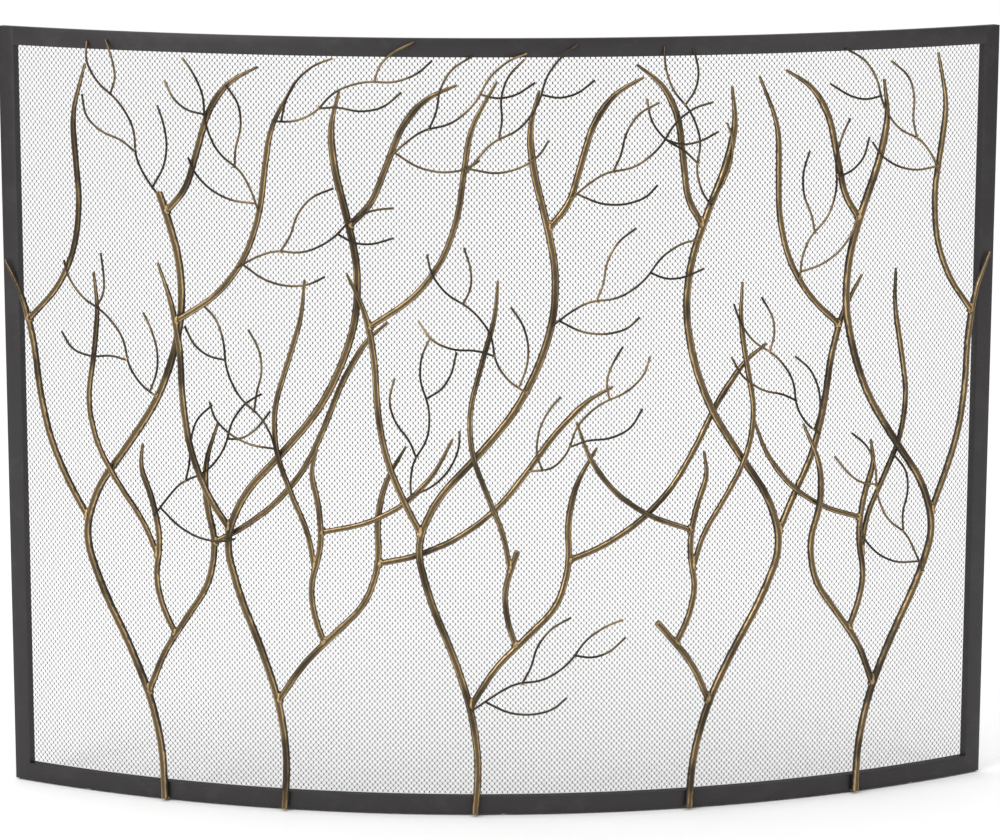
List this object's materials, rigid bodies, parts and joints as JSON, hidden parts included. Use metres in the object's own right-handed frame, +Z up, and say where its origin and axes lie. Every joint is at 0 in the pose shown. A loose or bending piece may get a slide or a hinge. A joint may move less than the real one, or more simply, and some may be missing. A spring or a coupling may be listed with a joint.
{
  "type": "fireplace screen",
  "caption": "Free-standing bowed fireplace screen: a flat-bar frame round woven wire cloth, with tree shapes bent from round rod and sprays of thin twigs in front.",
  "frame": {"origin": "on the floor under the middle of the bottom rail, where the bow comes furthest forward, at the centre of the middle floor pad's underside", "axes": "+Z up; -Y towards the room, the way the decorated front faces; +Y towards the hearth; +X to the right for somebody who looks at the front"},
  "size_m": [1.118, 0.1809, 0.87],
  "materials": {
    "frame_bar": "satin charcoal bronze paint",
    "wire_cloth": "matte black woven wire",
    "strip": "satin charcoal paint",
    "screw": "black oxide",
    "pad": "clear soft bumper",
    "rod": "antique brass, dark in the hollows",
    "twig": "antique brass"
  },
  "bodies": {
    "root": {"top_rail": "frame_bar", "bottom_rail": "frame_bar", "left_stile": "frame_bar", "right_stile": "frame_bar", "mesh_panel": "wire_cloth", "top_strip": "strip", "bottom_strip": "strip", "left_strip": "strip", "right_strip": "strip", "strip_screws": "screw", "floor_pads": "pad", "trunk_1": "rod", "side_bough_1": "rod", "top_bough_1": "rod", "crown_branch_1": "rod", "limb_1": "rod", "low_branch_1": "rod", "inner_branch_1": "rod", "long_branch_1": "rod", "trunk_2": "rod", "side_bough_2": "rod", "top_bough_2": "rod", "crown_branch_2": "rod", "limb_2": "rod", "low_branch_2": "rod", "inner_branch_2": "rod", "short_branch_2": "rod", "long_branch_2": "rod", "trunk_3": "rod", "side_bough_3": "rod", "top_bough_3": "rod", "crown_branch_3": "rod", "limb_3": "rod", "low_branch_3": "rod", "inner_branch_3": "rod", "long_branch_3": "rod", "trunk_4": "rod", "side_bough_4": "rod", "top_bough_4": "rod", "crown_branch_4": "rod", "limb_4": "rod", "low_branch_4": "rod", "short_branch_4": "rod", "inner_branch_4": "rod", "trunk_5": "rod", "side_bough_5": "rod", "top_bough_5": "rod", "crown_branch_5": "rod", "limb_5": "rod", "low_branch_5": "rod", "short_branch_5": "rod", "inner_branch_5": "rod", "twigs_1": "twig", "twigs_2": "twig", "twigs_3": "twig", "twigs_4": "twig", "twigs_5": "twig"}
  },
  "joints": []
}
